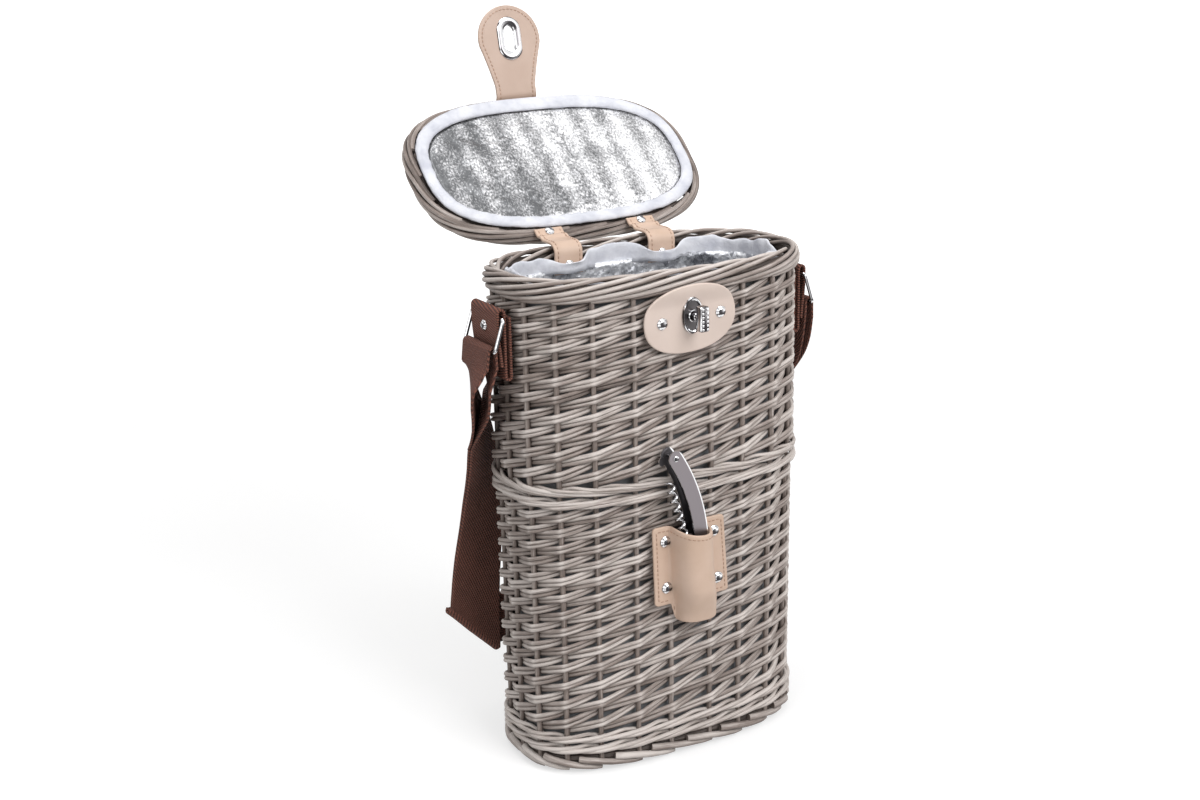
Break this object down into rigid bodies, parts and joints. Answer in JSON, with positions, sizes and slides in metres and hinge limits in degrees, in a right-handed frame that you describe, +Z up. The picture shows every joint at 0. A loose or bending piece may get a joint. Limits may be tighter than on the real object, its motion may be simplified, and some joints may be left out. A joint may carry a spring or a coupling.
{
  "type": "wicker bottle cooler basket",
  "caption": "Tall oblong woven willow basket with a foil-lined body, a hinged lid, a leather hasp and turn lock, a shoulder strap and a corkscrew in a leather pocket.",
  "frame": {"origin": "middle of the flat underside of the base", "axes": "+X along the long side to the right as seen from the front, +Y to the back, where the lid is hinged, +Z up"},
  "size_m": [0.267, 0.2743, 0.5049],
  "materials": {
    "willow": "grey washed willow rods",
    "foil": "metallised insulating foil",
    "tape": "pale binding tape",
    "leather": "smooth beige leather, stitched",
    "webbing": "ribbed brown webbing",
    "chrome": "polished",
    "steel": "satin"
  },
  "bodies": {
    "basket": {"floor_panel": "willow", "foot_border": "willow", "lower_wall": "willow", "middle_band": "willow", "upper_wall": "willow", "top_border": "willow", "foil_bag": "foil", "mouth_tape": "tape", "hinge_strap_left": "leather", "hinge_strap_right": "leather", "wall_rivet_left": "chrome", "wall_rivet_right": "chrome", "lock_patch": "leather", "patch_rivet_left": "chrome", "patch_rivet_right": "chrome", "lock_plate": "chrome", "corkscrew_pocket": "leather", "pocket_rivet_high_left": "chrome", "pocket_rivet_high_right": "chrome", "pocket_rivet_low_left": "chrome", "pocket_rivet_low_right": "chrome", "strap_tab_left": "webbing", "strap_tab_right": "webbing", "tab_rivet_left": "chrome", "tab_rivet_right": "chrome", "shoulder_strap": "webbing"},
    "lid": {"lid_border": "willow", "lid_panel": "willow", "lid_tape": "tape", "lid_pad": "foil", "lid_rivet_left": "chrome", "lid_rivet_right": "chrome", "hasp_root": "leather", "hasp_rivet_left": "chrome", "hasp_rivet_right": "chrome"},
    "hasp": {"hasp_tab": "leather", "hasp_eyelet": "chrome"},
    "knob": {"turn_knob": "chrome"},
    "left_ring": {"ring_left": "chrome"},
    "right_ring": {"ring_right": "chrome"},
    "corkscrew": {"corkscrew_handle": "steel", "knife_pin": "chrome", "lever_pin": "chrome", "worm_pin": "chrome", "corkscrew_worm": "chrome", "corkscrew_lever": "chrome"},
    "knife": {"foil_knife": "steel"}
  },
  "joints": [
    {"name": "lid_hinge", "type": "hinge", "parent": "basket", "child": "lid", "pos_m": [0, 0.0674, 0.3526], "axis": [1, 0, 0], "range_deg": [0, 138], "deforming": ["hinge_strap_left", "hinge_strap_right"]},
    {"name": "hasp_bend", "type": "hinge", "parent": "lid", "child": "hasp", "pos_m": [-0.003, 0.17522, 0.4373], "axis": [1, 0, 0], "range_deg": [-35, 55]},
    {"name": "knob_turn", "type": "hinge", "parent": "basket", "child": "knob", "pos_m": [-0.003, -0.07, 0.3182], "axis": [0, 1, 0], "range_deg": [0, 90]},
    {"name": "left_ring_swing", "type": "hinge", "parent": "basket", "child": "left_ring", "pos_m": [-0.119, 0, 0.3225], "axis": [0, 1, 0], "range_deg": [-8, 145], "deforming": ["shoulder_strap"]},
    {"name": "right_ring_swing", "type": "hinge", "parent": "basket", "child": "right_ring", "pos_m": [0.119, 0, 0.3225], "axis": [0, -1, 0], "range_deg": [-8, 145], "deforming": ["shoulder_strap"]},
    {"name": "corkscrew_slide", "type": "slide", "parent": "basket", "child": "corkscrew", "axis": [-0.0698, 0, 0.9976], "range_m": [0, 0.06]},
    {"name": "knife_fold", "type": "hinge", "parent": "corkscrew", "child": "knife", "pos_m": [-0.02298, -0.06945, 0.22604], "axis": [0, 1, 0], "range_deg": [0, 165]}
  ]
}
